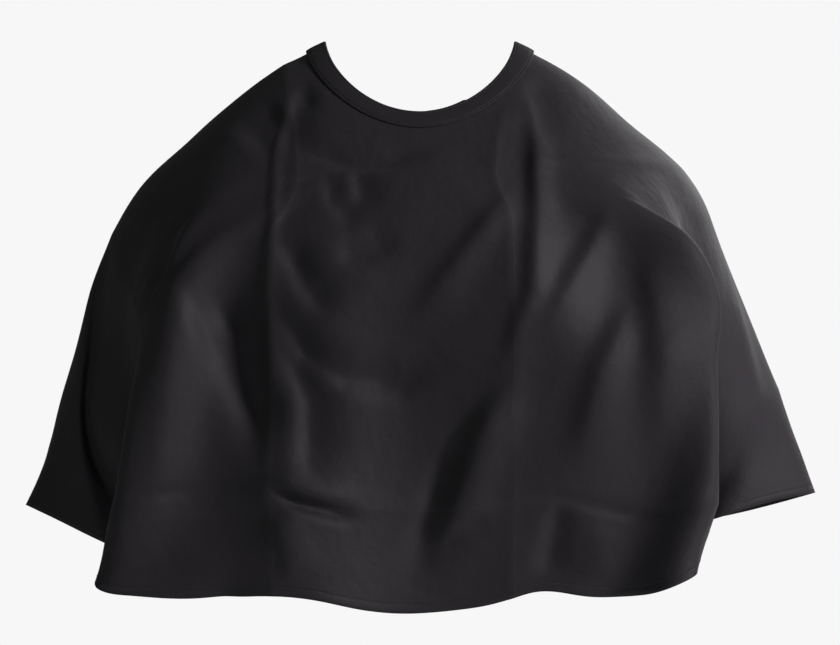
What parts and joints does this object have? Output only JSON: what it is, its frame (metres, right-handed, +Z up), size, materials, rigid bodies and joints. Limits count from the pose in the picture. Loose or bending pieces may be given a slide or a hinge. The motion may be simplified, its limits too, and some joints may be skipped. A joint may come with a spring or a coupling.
{
  "type": "barber cape",
  "caption": "Short cape of thin black cloth, worn over the shoulders, with a plain neck band and a press stud tab that closes at the back of the neck.",
  "frame": {"origin": "centre of the neck opening, level with the sides of the neck edge", "axes": "+Z up along the wearer's neck, -Y the cape's front, +X to the right as the front is seen"},
  "size_m": [0.6643, 0.3508, 0.4525],
  "materials": {
    "cape_cloth": "thin plain-weave polyester with a slight sheen, black",
    "band_cloth": "the same cloth in three layers, topstitched, black",
    "interlining": "stiff non-woven interlining, grey",
    "stud_metal": "satin nickel plate",
    "spring_metal": "bare spring wire"
  },
  "bodies": {
    "root": {"cape_panel": "cape_cloth", "neck_band_inner": "band_cloth", "neck_band_interlining": "interlining", "neck_band_outer": "band_cloth", "snap_stud_1": "stud_metal", "snap_stud_2": "stud_metal", "snap_stud_3": "stud_metal", "snap_stud_4": "stud_metal", "snap_stud_5": "stud_metal", "snap_back_1": "stud_metal", "snap_back_2": "stud_metal", "snap_back_3": "stud_metal", "snap_back_4": "stud_metal", "snap_back_5": "stud_metal"},
    "tab": {"tab_inner": "band_cloth", "tab_interlining": "interlining", "tab_outer": "band_cloth", "snap_cap_1": "stud_metal", "snap_cap_2": "stud_metal", "snap_socket_1": "stud_metal", "snap_socket_2": "stud_metal", "snap_spring_1": "spring_metal", "snap_spring_2": "spring_metal"}
  },
  "joints": [
    {"name": "closure_tab_open", "type": "hinge", "parent": "root", "child": "tab", "pos_m": [-0.00932, 0.07271, -0.05905], "axis": [0.0695, -0.7182, 0.6924], "range_deg": [0, 100]}
  ]
}
